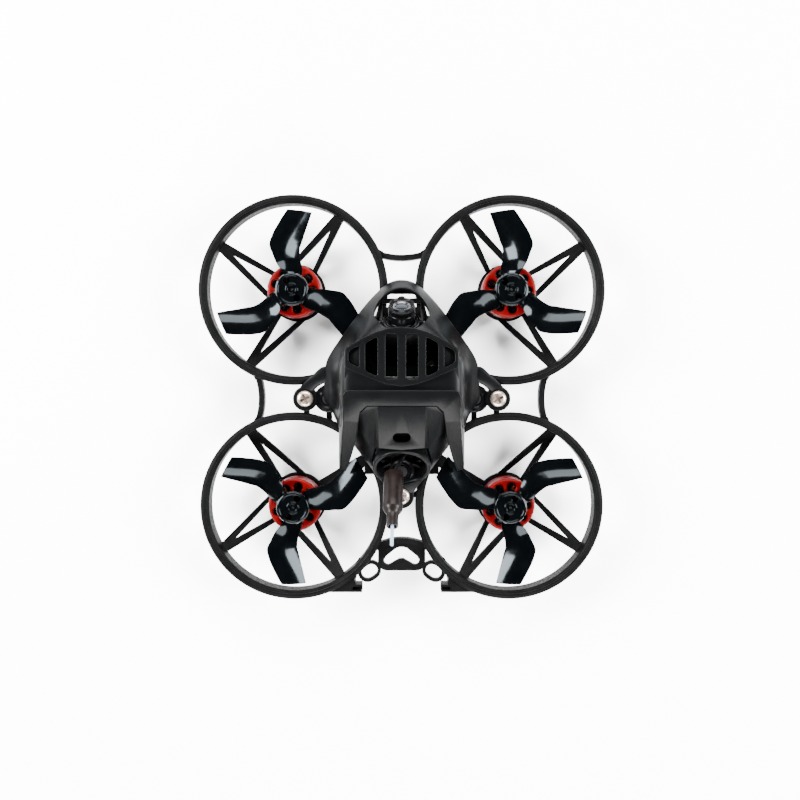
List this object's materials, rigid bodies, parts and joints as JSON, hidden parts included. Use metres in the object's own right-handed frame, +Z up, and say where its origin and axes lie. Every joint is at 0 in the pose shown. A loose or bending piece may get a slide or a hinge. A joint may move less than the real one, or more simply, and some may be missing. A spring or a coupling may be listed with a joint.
{
  "type": "fpv racing drone",
  "caption": "Small ducted racing drone: moulded guard frame with propellers on outrunner motors, sloped camera canopy and a rear whip antenna.",
  "frame": {"origin": "middle of the four motors, on the plane that the battery bay stands on", "axes": "+Z up, +Y the drone's front, +X its right"},
  "size_m": [0.0994, 0.0994, 0.0317],
  "materials": {
    "black_steel": "black oxide",
    "button_plastic": "moulded",
    "camera_plastic": "moulded",
    "canopy_plastic": "matte moulded grain",
    "chip": "moulded",
    "circuit_board": "solder mask",
    "copper_wire": "enamelled",
    "frame_nylon": "fine moulded grain",
    "gold": "gold plated",
    "lens_glass": "coated",
    "lens_metal": "black anodised",
    "magnet": "plated",
    "motor_alloy": "anodised",
    "plug_plastic": "moulded",
    "prop_plastic": "polished moulding",
    "red_alloy": "anodised, satin",
    "rubber": "glossy",
    "screw_steel": "bright, nickel plated",
    "shaft_steel": "ground",
    "shrink_sleeve": "shrunk",
    "socket_metal": "tinned",
    "stator_steel": "laminated",
    "whisker": "smooth"
  },
  "bodies": {
    "airframe": {"antenna_connector": "gold", "antenna_feed": "rubber", "antenna_sleeve": "shrink_sleeve", "antenna_whisker": "whisker", "boot_button_housing": "socket_metal", "camera_bracket": "camera_plastic", "canopy": "canopy_plastic", "canopy_screws": "screw_steel", "duct_front_left": "frame_nylon", "duct_front_right": "frame_nylon", "duct_rear_left": "frame_nylon", "duct_rear_right": "frame_nylon", "fc_board": "circuit_board", "fc_chips": "chip", "fc_grommets": "rubber", "fc_screws": "black_steel", "frame": "frame_nylon", "frame_links": "frame_nylon", "motor_base_front_left": "motor_alloy", "motor_base_front_right": "motor_alloy", "motor_base_rear_left": "motor_alloy", "motor_base_rear_right": "motor_alloy", "motor_bearings": "shaft_steel", "motor_mount_screws": "black_steel", "motor_plugs": "plug_plastic", "stator_core_front_left": "stator_steel", "stator_core_front_right": "stator_steel", "stator_core_rear_left": "stator_steel", "stator_core_rear_right": "stator_steel", "usb_socket": "socket_metal", "vtx_board": "circuit_board", "vtx_posts": "gold", "vtx_shield": "socket_metal", "windings_front_left": "copper_wire", "windings_front_right": "copper_wire", "windings_rear_left": "copper_wire", "windings_rear_right": "copper_wire"},
    "rotor_front_left": {"magnet_ring_front_left": "magnet", "motor_bell_front_left": "red_alloy", "motor_shaft_front_left": "shaft_steel", "propeller_front_left": "prop_plastic"},
    "rotor_front_right": {"magnet_ring_front_right": "magnet", "motor_bell_front_right": "red_alloy", "motor_shaft_front_right": "shaft_steel", "propeller_front_right": "prop_plastic"},
    "rotor_rear_left": {"magnet_ring_rear_left": "magnet", "motor_bell_rear_left": "red_alloy", "motor_shaft_rear_left": "shaft_steel", "propeller_rear_left": "prop_plastic"},
    "rotor_rear_right": {"magnet_ring_rear_right": "magnet", "motor_bell_rear_right": "red_alloy", "motor_shaft_rear_right": "shaft_steel", "propeller_rear_right": "prop_plastic"},
    "camera": {"camera_housing": "camera_plastic", "camera_board": "circuit_board", "lens_barrel": "lens_metal", "lens_glass": "lens_glass", "camera_tilt_screws": "screw_steel"},
    "button": {"boot_button": "button_plastic"}
  },
  "joints": [
    {"name": "spin_front_left", "type": "hinge", "parent": "airframe", "child": "rotor_front_left", "pos_m": [-0.02652, 0.02652, 0.0105], "axis": [0, 0, 1], "continuous": true},
    {"name": "spin_front_right", "type": "hinge", "parent": "airframe", "child": "rotor_front_right", "pos_m": [0.02652, 0.02652, 0.0105], "axis": [0, 0, 1], "continuous": true},
    {"name": "spin_rear_left", "type": "hinge", "parent": "airframe", "child": "rotor_rear_left", "pos_m": [-0.02652, -0.02652, 0.0105], "axis": [0, 0, 1], "continuous": true},
    {"name": "spin_rear_right", "type": "hinge", "parent": "airframe", "child": "rotor_rear_right", "pos_m": [0.02652, -0.02652, 0.0105], "axis": [0, 0, 1], "continuous": true},
    {"name": "camera_tilt", "type": "hinge", "parent": "airframe", "child": "camera", "pos_m": [0, 0.0166, 0.0172], "axis": [1, 0, 0], "range_deg": [-10, 10]},
    {"name": "boot_press", "type": "slide", "parent": "airframe", "child": "button", "axis": [0, 0, -1], "range_m": [0, 0.00025], "stiffness_N_per_m": 2000}
  ]
}
